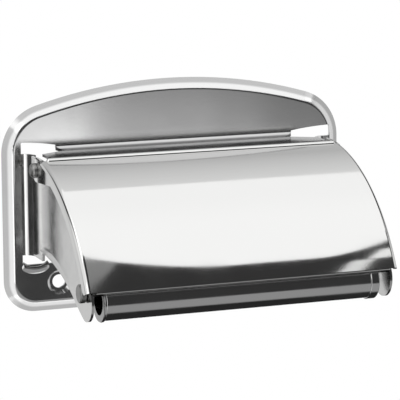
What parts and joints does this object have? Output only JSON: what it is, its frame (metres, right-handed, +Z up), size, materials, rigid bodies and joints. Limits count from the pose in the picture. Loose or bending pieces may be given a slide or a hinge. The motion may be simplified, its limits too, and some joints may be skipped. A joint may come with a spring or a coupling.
{
  "type": "toilet paper holder",
  "caption": "Polished steel wall-mounted toilet paper holder with an arched back plate, side arms, a hinged curved hood, a pull-out rod and a loose roller.",
  "frame": {"origin": "midway between the two screw holes, on the wall plane", "axes": "+X to the right along the roller, +Y into the wall, +Z up"},
  "size_m": [0.1456, 0.08, 0.0921],
  "materials": {
    "sheet_steel": "polished",
    "rivet_steel": "satin",
    "roller_chrome": "polished",
    "washer_nylon": "matte"
  },
  "bodies": {
    "wall_frame": {"back_plate": "sheet_steel", "hinge_shelf": "sheet_steel", "left_arm": "sheet_steel", "right_arm": "sheet_steel", "left_hinge_rivet": "rivet_steel", "right_hinge_rivet": "rivet_steel", "left_hinge_washer": "washer_nylon", "right_hinge_washer": "washer_nylon"},
    "hood": {"hood": "sheet_steel"},
    "rod": {"roller_rod": "rivet_steel", "rod_knob": "rivet_steel"},
    "roller": {"roller_tube": "roller_chrome", "left_end_ring": "roller_chrome", "right_end_ring": "roller_chrome"}
  },
  "joints": [
    {"name": "hood_hinge", "type": "hinge", "parent": "wall_frame", "child": "hood", "pos_m": [0, -0.017, 0.0486], "axis": [-1, 0, 0], "range_deg": [0, 90]},
    {"name": "rod_slide", "type": "slide", "parent": "wall_frame", "child": "rod", "axis": [-1, 0, 0], "range_m": [0, 0.12]},
    {"name": "roller_spin", "type": "hinge", "parent": "wall_frame", "child": "roller", "pos_m": [0, -0.07123, 0.00675], "axis": [1, 0, 0], "continuous": true}
  ]
}
